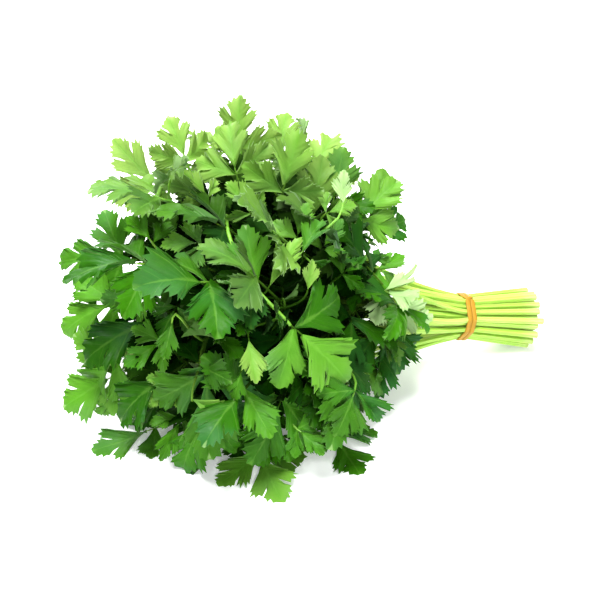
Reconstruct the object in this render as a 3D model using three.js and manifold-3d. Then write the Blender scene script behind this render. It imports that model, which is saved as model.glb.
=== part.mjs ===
// A bunch of flat-leaf parsley, lying on its side and held by a rubber band.
//
// Every sprig is one leaf stalk, cut at its foot, which runs through the band and carries toothed leaflets.
// Units are millimetres, +Z is up and the surface that the bunch lies on is z = 0. The cut ends point to +X.

import * as THREE from "three";
import { mergeVertices } from "three/addons/utils/BufferGeometryUtils.js";
import Module from "manifold-3d";

const wasm = await Module();
wasm.setup();

const DEGREE = Math.PI / 180;
const GOLDEN_ANGLE = Math.PI * (3 - Math.sqrt(5));
const UP = new THREE.Vector3(0, 0, 1);

// --- Driving dimensions -------------------------------------------------------------------------

const SPRIGS = 44;
const SEED = 20273;

// The stalks in the band, which the crown of leaves props up at its own end.
const BUNDLE_TILT = 12 * DEGREE; // the cut ends point down by this much
const BAND_HEIGHT = 30.8; // of the bundle's middle in the band, with the lowest cut end on the surface
const STALK_PITCH = 2.2; // radius of the ring that the n-th stalk lies on, over the root of n
const CUT_LENGTH = 53; // from the band to the cut ends
const CUT_RAGGED = 5; // how much the cut ends differ in length
const CUT_FLARE = 1.44; // how much wider the bundle is at the cut ends than in the band
const STALK_RADIUS = { cut: 2.05, band: 1.7, tip: 1.25 };
const STALK_FAN = 0.0044; // how fast the stalks part as they leave the band, over the way to their tips
const STALK_SIDES = 5;
const STALK_STEPS = [0, 0.12, 0.3, 0.5, 0.75, 1]; // where its stations are, from the band to the tip

// The crown: the dome that the leaves fill, as a middle and its reach each way from there,
// and where the stalks' tips lie in it, as shares of the way out to its skin.
const CROWN_MIDDLE = [-155, 5, 66];
const CROWN_REACH = { along: 112, front: 128, back: 150, over: 112, under: 64 };
const CROWN_SPREAD = 146 * DEGREE;
const TIP_DEPTH = [0.6, 0.82];
const DROOP = 0.3;

// The leading sprays of the crown, which stand out of it: which sprig's tip each one is, where its leaflets
// meet, where the middle one ends, and how large they are.
const LEADERS = [
  { sprig: 23, hub: [-145, -70, 105], end: [-110, -95, 75], size: 1.12 }, // the large one in the front
  { sprig: 10, hub: [-200, -68, 80], end: [-200, -88, 40], size: 1 },
  { sprig: 34, hub: [-168, -70, 3], end: [-164, -114, 0], size: 1 }, // the lowest, flat on the surface
  { sprig: 42, hub: [-116, -66, 4], end: [-106, -98, 0], size: 0.85 },
  { sprig: 21, hub: [-226, -30, 4], end: [-256, -32, 0], size: 0.85 },
  { sprig: 9, hub: [-198, 86, 118], end: [-218, 92, 150], size: 0.8 }, // the pale ones along the top
  { sprig: 4, hub: [-177, 88, 133], end: [-184, 96, 165], size: 0.75 },
  { sprig: 17, hub: [-141, 90, 136], end: [-136, 95, 178], size: 0.8 },
  { sprig: 30, hub: [-112, 82, 128], end: [-108, 92, 160], size: 0.7 },
  { sprig: 38, hub: [-92, 78, 112], end: [-76, 84, 148], size: 0.8 },
  { sprig: 25, hub: [-150, 50, 140], end: [-155, 60, 175], size: 0.85 },
  { sprig: 33, hub: [-125, 30, 135], end: [-115, 30, 165], size: 0.85 },
  { sprig: 43, hub: [-65, 52, 88], end: [-38, 56, 122], size: 0.75 }, // the ones nearest to the band
  { sprig: 36, hub: [-66, -26, 72], end: [-66, -60, 36], size: 0.95 },
  { sprig: 6, hub: [-230, 40, 95], end: [-270, 54, 94], size: 0.9 }, // the ones at the far end
  { sprig: 1, hub: [-240, 20, 76], end: [-282, 18, 68], size: 0.85 },
  { sprig: 3, hub: [-246, -12, 55], end: [-284, -8, 20], size: 0.95 },
];
const LEADER_FACE = new THREE.Vector3(-0.2, -0.6, 0.8); // what the others face, and the lowest ones face up
const LOWEST = 15;

// A leaflet, as shares of its length. Half of the outline, from the foot to the tip.
const LOBE = { along: 0.64, out: 0.45 }; // tip of the side lobe
const NOTCH = { along: 0.56, out: 0.17 }; // between the side lobe and the middle lobe
const SHOULDER = { along: 0.84, out: 0.24 }; // of the middle lobe
const END = { along: 1, out: 0 };
const RIB_MIDDLE = { along: 0.42, out: 0 };
const BLADE_THICKNESS = 0.7;

// A spray is a short branch with up to three leaflets: one at each side, and one further on.
const LEAFLET = { middle: 44, side: 39, lowMiddle: 38, lowSide: 33 }; // lengths
const SIDE_LEAN = 66 * DEGREE;
const MIDDLE_AHEAD = 0.15; // how far the middle leaflet stands past the side ones, over its length
const BRANCH = { at: [0.6, 0.82], lean: 52 * DEGREE, length: 24 };
const BRANCH_HALF = { width: 0.75, thickness: 0.6 };
const TIP_BRANCH = 3; // the spray at a stalk's tip has a branch of this length, and its root is as deep

// How far apart the middles of two blades of different sprigs stay, and how fine the test of it is.
const CLEARANCE = 3.4;
const SAMPLE_STEP = 0.1;
const PATH_STEP = 2.5;
const BUNCHED = 16; // this near to the band, the stalks lie closer
const LEAFLET_TRIES = 40;
const BRANCH_TRIES = 12;
const STALK_TRIES = 60;
const STALK_STRAY = 16; // how far aside a stalk may bend at the last try, to pass the others
const FLOOR_PRESS = 12; // a level blade that would reach this far under the surface is pressed flat on it

const BAND = { width: 6.4, thickness: 1.6, groove: 0.6, gap: 0.8 };
const BAND_SIDES = 24;

// --- Small helpers ------------------------------------------------------------------------------

// The minimal standard generator, so that every run draws the same numbers.
function makeDraw(seed) {
  let state = seed;
  return (low = 0, high = 1) => {
    state = (state * 16807) % 2147483647;
    return low + ((high - low) * state) / 2147483647;
  };
}

const mix = (a, b, t) => a.clone().multiplyScalar(1 - t).addScaledVector(b, t);

const turned = (v, axis, angle) => {
  const c = Math.cos(angle);
  const s = Math.sin(angle);
  return v
    .clone()
    .multiplyScalar(c)
    .addScaledVector(axis.clone().cross(v), s)
    .addScaledVector(axis, axis.dot(v) * (1 - c));
};

const squaredTo = (v, axis) => v.clone().addScaledVector(axis, -v.dot(axis)).normalize();

function bezier([a, b, c, d], t) {
  const s = 1 - t;
  return new THREE.Vector3()
    .addScaledVector(a, s * s * s)
    .addScaledVector(b, 3 * s * s * t)
    .addScaledVector(c, 3 * s * t * t)
    .addScaledVector(d, t * t * t);
}

function bezierHeading([a, b, c, d], t) {
  const s = 1 - t;
  return new THREE.Vector3()
    .addScaledVector(b.clone().sub(a), s * s)
    .addScaledVector(c.clone().sub(b), 2 * s * t)
    .addScaledVector(d.clone().sub(c), t * t)
    .normalize();
}

// --- Where everything grows ---------------------------------------------------------------------

const BUNDLE_AXIS = new THREE.Vector3(Math.cos(BUNDLE_TILT), 0, -Math.sin(BUNDLE_TILT));
const BUNDLE_SIDE = new THREE.Vector3(0, 1, 0);
const BUNDLE_TOP = new THREE.Vector3(Math.sin(BUNDLE_TILT), 0, Math.cos(BUNDLE_TILT));
const BUNDLE_RADIUS = STALK_PITCH * Math.sqrt(SPRIGS);

// A point of the bundle: along its axis from the band, and out to one side and to the top.
const bundlePoint = (along, side, top) =>
  new THREE.Vector3(0, 0, BAND_HEIGHT)
    .addScaledVector(BUNDLE_AXIS, along)
    .addScaledVector(BUNDLE_SIDE, side)
    .addScaledVector(BUNDLE_TOP, top);

// A store of points in cells, which answers whether a new point comes too near to another sprig's.
class PointStore {
  constructor(reach) {
    this.reach = reach;
    this.cells = new Map();
  }
  cellOf(point) {
    return [point.x, point.y, point.z].map((c) => Math.floor(c / this.reach) + 512);
  }
  add(point, owner) {
    const [i, j, k] = this.cellOf(point);
    const key = (i * 1024 + j) * 1024 + k;
    if (!this.cells.has(key)) this.cells.set(key, []);
    this.cells.get(key).push({ point, owner });
  }
  blocked(point, ignores) {
    const [i, j, k] = this.cellOf(point);
    const limit = this.reach * this.reach;
    for (let a = i - 1; a <= i + 1; a++)
      for (let b = j - 1; b <= j + 1; b++)
        for (let c = k - 1; c <= k + 1; c++)
          for (const entry of this.cells.get((a * 1024 + b) * 1024 + c) ?? [])
            if (entry.point.distanceToSquared(point) < limit && !ignores(entry.owner)) return true;
    return false;
  }
}

// Where a point of a leaflet lies, and which way its upper face looks there.
// The blade curls down along its rib and is folded up along it.
function leafletPoint({ base, heading, normal, side, length, width, curl, fold }, along, out) {
  const angle = curl * along;
  const face = normal.clone().multiplyScalar(Math.cos(angle)).addScaledVector(heading, Math.sin(angle));
  const across = out * length * width;
  const place = base
    .clone()
    .addScaledVector(heading, (length / curl) * Math.sin(angle))
    .addScaledVector(normal, (length / curl) * (Math.cos(angle) - 1))
    .addScaledVector(side, across * Math.cos(fold))
    .addScaledVector(face, Math.abs(across) * Math.sin(fold));
  return { place, face };
}

// The places on a leaflet where its clearance is tested, as pairs of along and out.
const SAMPLES = [];
for (let row = 0; row <= 10; row++) {
  const along = row * SAMPLE_STEP;
  const half = along < LOBE.along ? (LOBE.out * along) / LOBE.along : SHOULDER.out * 1.6 * Math.sqrt(1 - along);
  const steps = Math.ceil(half / SAMPLE_STEP);
  for (let n = -steps; n <= steps; n++) SAMPLES.push([along, steps ? (half * n) / steps : 0]);
}

// Whether a leaflet keeps off the surface. A level one may be pressed flat on it by a little.
function clearOfFloor(points, normal) {
  const press = FLOOR_PRESS * Math.max(0, (Math.abs(normal.z) - 0.6) / 0.4);
  return points.every((p) => p.z > BLADE_THICKNESS / 2 - press);
}

// Puts one leaflet at a node of a sprig. It is turned at random, further at each try, until it is clear.
function growLeaflet(store, draw, node, lean, size) {
  for (let attempt = 0; attempt < LEAFLET_TRIES; attempt++) {
    const loose = attempt / LEAFLET_TRIES;
    const yaw = lean + draw(-1, 1) * (6 + 14 * loose) * DEGREE;
    const pitch = draw(-1, 1) * (12 + 46 * loose) * DEGREE;
    const roll = draw(-1, 1) * (18 + 36 * loose) * DEGREE;
    const curl = draw(14, 60) * DEGREE;
    const fold = draw(4, 20) * DEGREE;
    const length = size * draw(0.88, 1.14) * (1 - 0.4 * loose * loose);
    const width = draw(0.86, 1.08);
    const flat = turned(node.heading, node.normal, yaw);
    const across = node.normal.clone().cross(flat);
    const heading = turned(flat, across, pitch);
    const side = turned(across, heading, roll);
    const normal = heading.clone().cross(side);
    const base = node.place.clone();
    if (lean === 0) base.addScaledVector(node.heading, MIDDLE_AHEAD * length);
    const leaflet = { base, heading, side, normal, length, width, curl, fold, lean };
    const points = SAMPLES.map(([along, out]) => leafletPoint(leaflet, along, out).place);
    if (!clearOfFloor(points, normal)) continue;
    points.forEach((p) => (p.z = Math.max(p.z, BLADE_THICKNESS / 2)));
    const near = 0.34 * length;
    const clear = points.every((p) => {
      const beside = p.distanceTo(node.place) < near;
      const mine = ({ sprig, part }) => sprig === node.sprig && (part === 0 || (beside && part === node.part));
      return !store.blocked(p, mine);
    });
    if (!clear) continue;
    points.forEach((p) => store.add(p, { sprig: node.sprig, part: node.part }));
    return leaflet;
  }
  return null;
}

// The leaflets round one node. A sprig's part 0 is its stalk, and its sprays are parts 1 to 3.
function growSpray(store, draw, node, middle, side) {
  const leaflets = [];
  for (const lean of [0, SIDE_LEAN, -SIDE_LEAN]) {
    const leaflet = growLeaflet(store, draw, node, lean, lean === 0 ? middle : side);
    if (leaflet) leaflets.push(leaflet);
  }
  return leaflets.length ? { node, leaflets } : null;
}

// A place in the crown. The middle stalks of the bundle end at its far end, and the outer ones round the band.
function crownPlace(ring, turn, depth) {
  const share = ring / Math.sqrt(SPRIGS);
  const polar = Math.acos(1 - (1 - Math.cos(CROWN_SPREAD)) * share * share);
  const out = [-Math.cos(polar), Math.sin(polar) * Math.cos(turn), Math.sin(polar) * Math.sin(turn)];
  const { along, front, back, over, under } = CROWN_REACH;
  const reach = [along, out[1] < 0 ? front : back, out[2] < 0 ? under : over];
  const tip = new THREE.Vector3(...out.map((o, i) => CROWN_MIDDLE[i] + reach[i] * o * depth));
  const skin = new THREE.Vector3(...out.map((o, i) => o / reach[i])).normalize();
  return { tip, skin };
}

// A place on a stalk, which runs straight between its stations.
function stalkPoint(bars, t) {
  const next = Math.max(1, STALK_STEPS.findIndex((step) => step >= t));
  const [low, high] = [STALK_STEPS[next - 1], STALK_STEPS[next]];
  return mix(bezier(bars, low), bezier(bars, high), (t - low) / (high - low));
}

// Places along a straight way, no more than PATH_STEP apart. The start isn't one of them.
function pathBetween(from, to) {
  const count = Math.ceil(from.distanceTo(to) / PATH_STEP);
  return Array.from({ length: count }, (_, i) => mix(from, to, (i + 1) / count));
}

function stalkPath(bars) {
  return STALK_STEPS.slice(1).flatMap((t, i) => pathBetween(bezier(bars, STALK_STEPS[i]), bezier(bars, t)));
}

// One stalk: from its cut end through the band, and on along a curve to its tip in the crown.
function planStalk(store, draw, index, leader) {
  const ring = Math.sqrt(index + 0.5);
  const turn = index * GOLDEN_ANGLE;
  const side = STALK_PITCH * ring * Math.cos(turn);
  const top = STALK_PITCH * ring * Math.sin(turn);
  const cut = bundlePoint(CUT_LENGTH + draw(-1, 1) * CUT_RAGGED, side * CUT_FLARE, top * CUT_FLARE);
  const band = bundlePoint(0, side, top);
  for (let attempt = 0; ; attempt++) {
    const loose = attempt / STALK_TRIES;
    const place = crownPlace(ring, turn + draw(-1, 1) * 0.4 * loose, draw(...TIP_DEPTH) * (1 - 0.3 * loose));
    const tip = leader ? new THREE.Vector3(...leader.hub) : place.tip;
    const span = tip.distanceTo(band);
    let heading = tip.clone().sub(band).multiplyScalar(0.7 / span);
    heading.addScaledVector(place.skin, 0.65).addScaledVector(UP, -DROOP).normalize();
    heading.z = Math.max(heading.z, -(tip.z - 3) / LEAFLET.middle);
    if (leader) heading = new THREE.Vector3(...leader.end).sub(tip);
    heading.normalize();
    const fan = 1 + STALK_FAN * span;
    const stray = STALK_STRAY * loose;
    const leave = bundlePoint(-0.36 * span, side * fan + draw(-1, 1) * stray, top * fan + draw(-1, 1) * stray);
    const arrive = tip.clone().addScaledVector(heading, -0.32 * span);
    arrive.z = Math.max(arrive.z, 4);
    const bars = [band, leave, arrive, tip];
    const steps = stalkPath(bars).filter((p) => p.distanceTo(band) > BUNCHED);
    if (attempt < STALK_TRIES && steps.some((p) => store.blocked(p, () => false))) continue;
    steps.forEach((p) => store.add(p, { sprig: index, part: 0 }));
    const face = UP.clone().multiplyScalar(0.85).addScaledVector(place.skin, 0.7);
    const normal = squaredTo(leader ? (tip.z < LOWEST ? UP : LEADER_FACE) : face, heading);
    return { index, leader, cut, bars, heading, normal, sprays: [] };
  }
}

function growTip(store, draw, sprig) {
  const { index, leader, bars, heading, normal } = sprig;
  const place = bars[3].clone().addScaledVector(heading, TIP_BRANCH);
  const foot = bars[3].clone().addScaledVector(heading, -TIP_BRANCH);
  const size = leader ? leader.size : 1;
  const node = { part: 1, sprig: index, foot, place, heading, normal };
  return growSpray(store, draw, node, LEAFLET.middle * size, LEAFLET.side * size);
}

// A side branch of a stalk, with its spray. hand is 1 on the left and -1 on the right.
function growBranch(store, draw, sprig, hand) {
  const at = draw(...BRANCH.at);
  const foot = stalkPoint(sprig.bars, at);
  const ahead = bezierHeading(sprig.bars, at);
  const face = squaredTo(sprig.normal, ahead);
  for (let attempt = 0; attempt < BRANCH_TRIES; attempt++) {
    const lean = hand * (BRANCH.lean + draw(-14, 14) * DEGREE);
    const lift = draw(-1, 1) * (16 + 5 * attempt) * DEGREE;
    const length = BRANCH.length * draw(0.8, 1.15) * (1 - 0.04 * attempt);
    const flat = turned(ahead, face, lean);
    const heading = turned(flat, face.clone().cross(flat), lift);
    const place = foot.clone().addScaledVector(heading, length);
    if (place.z < 4) continue;
    const steps = pathBetween(mix(foot, place, 0.2), place);
    const mine = (owner) => owner.sprig === sprig.index && owner.part === 0;
    if (steps.some((p) => store.blocked(p, mine))) continue;
    const normal = squaredTo(face, heading);
    const node = { part: hand === 1 ? 2 : 3, sprig: sprig.index, foot, place, heading, normal };
    const spray = growSpray(store, draw, node, LEAFLET.lowMiddle, LEAFLET.lowSide);
    if (!spray) continue;
    steps.forEach((p) => store.add(p, { sprig: sprig.index, part: node.part }));
    return spray;
  }
  return null;
}

// The leading sprays grow first, and then the outermost ones, so that the crown's skin is the fullest.
function planSprigs() {
  const draw = makeDraw(SEED);
  const store = new PointStore(CLEARANCE);
  const leaders = new Map(LEADERS.map((leader) => [leader.sprig - 1, leader]));
  const others = [];
  for (let index = SPRIGS - 1; index >= 0; index--) if (!leaders.has(index)) others.push(index);
  const sprigs = [...leaders.keys(), ...others].map((index) => planStalk(store, draw, index, leaders.get(index)));
  for (const sprig of sprigs) sprig.sprays.push(growTip(store, draw, sprig));
  for (const sprig of sprigs) for (const hand of [1, -1]) sprig.sprays.push(growBranch(store, draw, sprig, hand));
  for (const sprig of sprigs) sprig.sprays = sprig.sprays.filter(Boolean);
  return sprigs.sort((a, b) => a.index - b.index);
}

// --- Solids -------------------------------------------------------------------------------------

function solidOf(geometry) {
  const bare = geometry.clone();
  bare.deleteAttribute("normal");
  bare.deleteAttribute("uv");
  const merged = mergeVertices(bare, 1e-4);
  const mesh = new wasm.Mesh({
    numProp: 3,
    vertProperties: merged.attributes.position.array,
    triVerts: new Uint32Array(merged.index.array),
  });
  return new wasm.Manifold(mesh);
}

function geometryOf(solid) {
  const { vertProperties, triVerts, numProp, numVert } = solid.getMesh();
  const places = new Float32Array(numVert * 3);
  for (let i = 0; i < numVert; i++) places.set(vertProperties.subarray(i * numProp, i * numProp + 3), i * 3);
  const geometry = new THREE.BufferGeometry();
  geometry.setAttribute("position", new THREE.BufferAttribute(places, 3));
  geometry.setIndex(new THREE.BufferAttribute(new Uint32Array(triVerts), 1));
  geometry.computeVertexNormals();
  return geometry;
}

// A cylinder whose rings are moved to stations along a path, each with its own radius.
function bentRod(stations, sides) {
  const rows = stations.length - 1;
  const rod = new THREE.CylinderGeometry(1, 1, 1, sides, rows);
  const frames = [];
  let side = squaredTo(BUNDLE_SIDE, stations[0].heading);
  for (const { place, heading, radius } of stations) {
    side = squaredTo(side, heading);
    frames.push({ place, radius, side, other: heading.clone().cross(side) });
  }
  const points = rod.attributes.position;
  for (let i = 0; i < points.count; i++) {
    const frame = frames[Math.round((points.getY(i) + 0.5) * rows)];
    const moved = frame.place
      .clone()
      .addScaledVector(frame.side, points.getX(i) * frame.radius)
      .addScaledVector(frame.other, -points.getZ(i) * frame.radius);
    points.setXYZ(i, moved.x, moved.y, moved.z);
  }
  return rod;
}

function stalkSolid({ cut, bars }) {
  const foot = bars[0].clone().sub(cut).normalize();
  const radiusAt = (t) => STALK_RADIUS.band + (STALK_RADIUS.tip - STALK_RADIUS.band) * t;
  const stations = [
    { place: cut, heading: foot, radius: STALK_RADIUS.cut },
    { place: bars[0], heading: foot, radius: STALK_RADIUS.band },
    ...STALK_STEPS.slice(1).map((t) => ({ place: bezier(bars, t), heading: bezierHeading(bars, t), radius: radiusAt(t) })),
  ];
  return solidOf(bentRod(stations, STALK_SIDES));
}

// One spray: its branch and its leaflets as one blade, with the same triangles on both faces.
// The leaflets meet round a hub, each with a fan of triangles about the middle of its rib.
function spraySolid({ node, leaflets }) {
  const upper = [];
  const lower = [];
  const addPoint = (place, face, half) => {
    const top = place.clone().addScaledVector(face, half);
    const under = place.clone().addScaledVector(face, -half);
    const [high, low] = face.z >= 0 ? [top, under] : [under, top];
    low.z = Math.max(low.z, 0);
    high.z = Math.max(high.z, 2 * half);
    upper.push(top);
    return lower.push(under) - 1;
  };
  const thin = BLADE_THICKNESS / 2;
  const across = node.normal.clone().cross(node.heading);
  const edge = (place, hand, half) => addPoint(place.clone().addScaledVector(across, hand * BRANCH_HALF.width), node.normal, half);

  const faces = [];
  const footLeft = edge(node.foot, 1, BRANCH_HALF.thickness);
  const footRight = edge(node.foot, -1, BRANCH_HALF.thickness);
  const hubLeft = edge(node.place, 1, BRANCH_HALF.thickness);
  const hubRight = edge(node.place, -1, BRANCH_HALF.thickness);
  const hub = addPoint(node.place.clone().addScaledVector(node.heading, 1.5), node.normal, BRANCH_HALF.thickness);
  faces.push([footLeft, footRight, hubRight], [footLeft, hubRight, hubLeft], [hubLeft, hubRight, hub]);
  const rim = [footLeft, hubLeft];

  const leftToRight = [...leaflets].sort((a, b) => b.lean - a.lean);
  let web = hubLeft;
  leftToRight.forEach((leaflet, i) => {
    const point = ({ along, out }, hand) => {
      const { place, face } = leafletPoint(leaflet, along, hand * out);
      return addPoint(place, face, thin);
    };
    const shoulders = node.part === 1 && leaflet.lean === 0;
    const outline = [
      ...[LOBE, NOTCH, ...(shoulders ? [SHOULDER] : [])].map((p) => point(p, 1)),
      point(END, 0),
      ...[...(shoulders ? [SHOULDER] : []), NOTCH, LOBE].map((p) => point(p, -1)),
    ];
    const middle = point(RIB_MIDDLE, 0);
    const next = leftToRight[i + 1];
    let nextWeb = hubRight;
    if (next) {
      const between = leaflet.heading.clone().add(next.heading).normalize();
      nextWeb = addPoint(node.place.clone().addScaledVector(between, 4.5), node.normal, thin);
    }
    const fan = [hub, web, ...outline, nextWeb];
    fan.forEach((a, n) => faces.push([middle, fan[(n + 1) % fan.length], a]));
    rim.push(...outline);
    if (next) rim.push(nextWeb);
    web = nextWeb;
  });
  rim.push(hubRight, footRight);

  const below = upper.length;
  const index = [];
  for (const [a, b, c] of faces) index.push(a, b, c, below + a, below + c, below + b);
  rim.forEach((a, i) => {
    const b = rim[(i + 1) % rim.length];
    index.push(a, b, below + b, a, below + b, below + a);
  });
  const geometry = new THREE.BufferGeometry();
  geometry.setFromPoints([...upper, ...lower]);
  geometry.setIndex(index);
  return solidOf(geometry);
}

const sprigSolid = (sprig) => wasm.Manifold.union([stalkSolid(sprig), ...sprig.sprays.map(spraySolid)]);

// The band goes round twice, and its two turns lie side by side.
function bandSolid() {
  const { width, thickness, groove, gap } = BAND;
  const inner = BUNDLE_RADIUS + STALK_RADIUS.band + gap;
  const half = width / 2;
  const rising = [
    [0, half],
    [thickness * 0.6, half],
    [thickness, half * 0.72],
    [thickness, half * 0.28],
  ];
  const profile = [...rising, [thickness - groove, 0], ...rising.reverse().map(([out, along]) => [out, -along])];
  const outline = [...profile, profile[0]].map(([out, along]) => new THREE.Vector2(inner + out, along));
  const ring = new THREE.LatheGeometry(outline.reverse(), BAND_SIDES);
  ring.rotateZ(-Math.PI / 2);
  ring.rotateY(BUNDLE_TILT);
  ring.translate(0, 0, BAND_HEIGHT);
  return solidOf(ring);
}

// --- The bunch ----------------------------------------------------------------------------------

const leafGreen = new THREE.MeshStandardMaterial({ color: 0x4f9a2c, roughness: 0.5, metalness: 0 });
const rubberTan = new THREE.MeshStandardMaterial({ color: 0xb8762f, roughness: 0.6, metalness: 0 });

const pieces = planSprigs().map((sprig) => ({
  name: `sprig_${String(sprig.index + 1).padStart(2, "0")}`,
  solid: sprigSolid(sprig),
  material: leafGreen.clone(),
}));
pieces.push({ name: "rubber_band", solid: bandSolid(), material: rubberTan });

const bunch = new THREE.Group();
bunch.name = "parsley_bunch";
for (const { name, solid, material } of pieces) {
  const mesh = new THREE.Mesh(geometryOf(solid), material);
  mesh.name = name;
  bunch.add(mesh);
}

// The middle of the bunch's box goes over the origin, and its lowest points onto the surface.
const box = new THREE.Box3().setFromObject(bunch);
const middle = box.getCenter(new THREE.Vector3());
for (const mesh of bunch.children) mesh.geometry.translate(-middle.x, -middle.y, -box.min.z);

export default bunch;
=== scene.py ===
"""A bunch of flat-leaf parsley, lying on its side and held by a rubber band.

The sprigs are laid out as in the part's source, in millimetres, and are then dressed with fine leaflets.
"""

import math
from types import SimpleNamespace

import bmesh
import bpy
import numpy as np
from mathutils import Matrix, Vector


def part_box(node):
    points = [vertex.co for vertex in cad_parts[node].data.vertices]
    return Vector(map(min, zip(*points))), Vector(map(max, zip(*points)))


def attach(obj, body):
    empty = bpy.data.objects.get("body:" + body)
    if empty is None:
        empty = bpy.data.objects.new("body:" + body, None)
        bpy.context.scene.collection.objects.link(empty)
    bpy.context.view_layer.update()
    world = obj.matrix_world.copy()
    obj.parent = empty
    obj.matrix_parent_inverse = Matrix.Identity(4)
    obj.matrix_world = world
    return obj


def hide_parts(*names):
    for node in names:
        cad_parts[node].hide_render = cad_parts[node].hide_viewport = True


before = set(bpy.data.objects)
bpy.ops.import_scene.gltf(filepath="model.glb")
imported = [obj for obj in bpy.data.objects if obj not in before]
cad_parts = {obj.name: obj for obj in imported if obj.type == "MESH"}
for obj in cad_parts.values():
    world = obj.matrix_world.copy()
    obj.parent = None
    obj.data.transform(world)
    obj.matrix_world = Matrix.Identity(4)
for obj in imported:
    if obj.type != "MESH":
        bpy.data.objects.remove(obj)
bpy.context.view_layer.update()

DEGREE = math.pi / 180
GOLDEN_ANGLE = math.pi * (3 - math.sqrt(5))
UP = np.array((0.0, 0.0, 1.0))
MM = 0.001

# --- The layout's driving dimensions, which the part's source shares ---

SPRIGS = 44
SEED = 20273

BUNDLE_TILT = 12 * DEGREE
BAND_HEIGHT = 30.8
STALK_PITCH = 2.2
CUT_LENGTH = 53
CUT_RAGGED = 5
CUT_FLARE = 1.44
STALK_FAN = 0.0044
STALK_STEPS = [0, 0.12, 0.3, 0.5, 0.75, 1]

CROWN_MIDDLE = [-155, 5, 66]
CROWN_REACH = {"along": 112, "front": 128, "back": 150, "over": 112, "under": 64}
CROWN_SPREAD = 146 * DEGREE
TIP_DEPTH = (0.6, 0.82)
DROOP = 0.3

# The leading sprays: which sprig's tip each one is, where its leaflets meet, where the middle one ends,
# and how large they are.
LEADERS = [
    (23, (-145, -70, 105), (-110, -95, 75), 1.12),
    (10, (-200, -68, 80), (-200, -88, 40), 1),
    (34, (-168, -70, 3), (-164, -114, 0), 1),
    (42, (-116, -66, 4), (-106, -98, 0), 0.85),
    (21, (-226, -30, 4), (-256, -32, 0), 0.85),
    (9, (-198, 86, 118), (-218, 92, 150), 0.8),
    (4, (-177, 88, 133), (-184, 96, 165), 0.75),
    (17, (-141, 90, 136), (-136, 95, 178), 0.8),
    (30, (-112, 82, 128), (-108, 92, 160), 0.7),
    (38, (-92, 78, 112), (-76, 84, 148), 0.8),
    (25, (-150, 50, 140), (-155, 60, 175), 0.85),
    (33, (-125, 30, 135), (-115, 30, 165), 0.85),
    (43, (-65, 52, 88), (-38, 56, 122), 0.75),
    (36, (-66, -26, 72), (-66, -60, 36), 0.95),
    (6, (-230, 40, 95), (-270, 54, 94), 0.9),
    (1, (-240, 20, 76), (-282, 18, 68), 0.85),
    (3, (-246, -12, 55), (-284, -8, 20), 0.95),
]
LEADER_FACE = np.array((-0.2, -0.6, 0.8))
LOWEST = 15

LOBE = (0.64, 0.45)
SHOULDER_OUT = 0.24
BLADE_THICKNESS = 0.7

LEAFLET = {"middle": 44, "side": 39, "low_middle": 38, "low_side": 33}
SIDE_LEAN = 66 * DEGREE
MIDDLE_AHEAD = 0.15
BRANCH_AT = (0.6, 0.82)
BRANCH_LEAN = 52 * DEGREE
BRANCH_LENGTH = 24
TIP_BRANCH = 3

CLEARANCE = 3.4
SAMPLE_STEP = 0.1
PATH_STEP = 2.5
BUNCHED = 16
LEAFLET_TRIES = 40
BRANCH_TRIES = 12
STALK_TRIES = 60
STALK_STRAY = 16
FLOOR_PRESS = 12

# --- Dimensions of the finer pieces ---

STALK_RADIUS = {"cut": 2.45, "band": 1.95, "tip": 1.0}
RAGGED_SHARE = 0.35  # of the layout's cut ends
PETIOLE_RADIUS = {"foot": 0.95, "hub": 0.65}
FINE_BLADE = 0.36
FLOOR_GAP = 0.05  # between the lowest leaflets and the floor

# The parts of a sprig: its stalk is 0 and its two branches are 2 and 3.
TIP_PART = 1
FILL_PARTS = 4  # and on
STANDING_PARTS = 30  # and on

# How much painted light some sprigs' tips get, from deep green to sunlit yellow-green, or else each of their
# leaflets, one of which shows its pale underside.
TURNED_OVER = 2
TIP_SUN = {1: 0.2, 3: 0.25, 4: 0.9, 6: 0.1, 9: 1, 10: 0.05, 15: 0.02, 17: 0.95, 21: 0.1, 25: 0.75, 26: 0.05}
TIP_SUN |= {30: 0.9, 31: 0.06, 33: 0.6, 34: 0.36, 38: 1, 39: 0.04, 42: 0.08, 43: 0.35}
TIP_SUN |= {18: {0: 0.02, 1: 0.14, -1: 0.03}, 23: {0: 0.18, 1: 0.0, -1: 0.18}}
TIP_SUN |= {36: {0: 0.0, 1: TURNED_OVER, -1: 0.05}}
KEPT_FREE = range(5, 22, 4)  # how far in front of a spray that stands out small leaflets stay out of the way
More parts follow.
